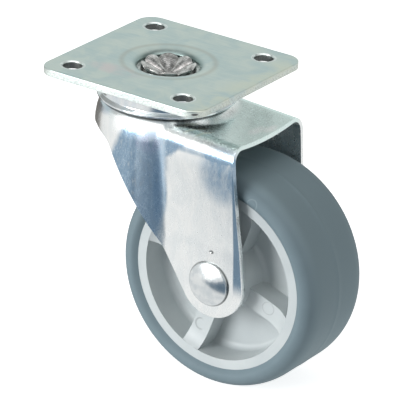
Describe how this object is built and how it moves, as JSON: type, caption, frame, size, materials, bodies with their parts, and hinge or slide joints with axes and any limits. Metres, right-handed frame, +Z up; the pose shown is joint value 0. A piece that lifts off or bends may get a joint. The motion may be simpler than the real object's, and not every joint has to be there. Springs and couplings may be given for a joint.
{
  "type": "swivel castor",
  "caption": "Plate-mounted swivel castor: a pressed steel fork turns on a double ball race and carries a wheel with a soft tyre.",
  "frame": {"origin": "on the swivel axis at the top plate's upper face, which is also the centre of the four bolt holes", "axes": "+Z up out of the plate along the swivel axis, +X to the rear, where the wheel trails, +Y across the castor, with the rivet's head on the -Y side"},
  "size_m": [0.0994, 0.062, 0.1],
  "materials": {
    "zinc_plate": "blue zinc plated, satin, faintly streaked",
    "zinc_fork": "bright zinc plated pressed sheet",
    "bright_race": "polished and bright zinc plated",
    "dark_race": "hardened, plain",
    "pin_steel": "bare turned steel, lightly oxidised",
    "rivet_steel": "zinc plated, bright",
    "sleeve_steel": "zinc plated",
    "ball_steel": "polished bearing steel under grease",
    "grey_plastic": "moulded polypropylene, light grey, satin",
    "grey_tyre": "thermoplastic rubber, matte grey"
  },
  "bodies": {
    "plate": {"top_plate": "zinc_plate", "upper_race_cup": "bright_race", "kingpin": "pin_steel", "lower_race_cup": "dark_race"},
    "fork": {"fork": "zinc_fork", "axle_rivet": "rivet_steel", "axle_sleeve": "sleeve_steel", "closing_washer": "sleeve_steel"},
    "wheel": {"wheel_centre": "grey_plastic", "tyre": "grey_tyre"},
    "upper_balls": {"upper_ball_01": "ball_steel", "upper_ball_02": "ball_steel", "upper_ball_03": "ball_steel", "upper_ball_04": "ball_steel", "upper_ball_05": "ball_steel", "upper_ball_06": "ball_steel", "upper_ball_07": "ball_steel", "upper_ball_08": "ball_steel", "upper_ball_09": "ball_steel", "upper_ball_10": "ball_steel", "upper_ball_11": "ball_steel", "upper_ball_12": "ball_steel", "upper_ball_13": "ball_steel", "upper_ball_14": "ball_steel", "upper_ball_15": "ball_steel"},
    "lower_balls": {"lower_ball_01": "ball_steel", "lower_ball_02": "ball_steel", "lower_ball_03": "ball_steel", "lower_ball_04": "ball_steel", "lower_ball_05": "ball_steel", "lower_ball_06": "ball_steel", "lower_ball_07": "ball_steel", "lower_ball_08": "ball_steel", "lower_ball_09": "ball_steel", "lower_ball_10": "ball_steel", "lower_ball_11": "ball_steel", "lower_ball_12": "ball_steel", "lower_ball_13": "ball_steel"}
  },
  "joints": [
    {"name": "swivel", "type": "hinge", "parent": "plate", "child": "fork", "pos_m": [0, 0, 0], "axis": [0, 0, 1], "continuous": true},
    {"name": "wheel_spin", "type": "hinge", "parent": "fork", "child": "wheel", "pos_m": [0.032, 0, -0.0625], "axis": [0, 1, 0], "continuous": true},
    {"name": "upper_ball_orbit", "type": "hinge", "parent": "plate", "child": "upper_balls", "pos_m": [0, 0, 0], "axis": [0, 0, 1], "continuous": true},
    {"name": "lower_ball_orbit", "type": "hinge", "parent": "plate", "child": "lower_balls", "pos_m": [0, 0, 0], "axis": [0, 0, 1], "continuous": true}
  ],
  "couplings": [
    {"joint": "upper_ball_orbit", "follows": "swivel", "ratio": 0.5},
    {"joint": "lower_ball_orbit", "follows": "swivel", "ratio": 0.5}
  ]
}
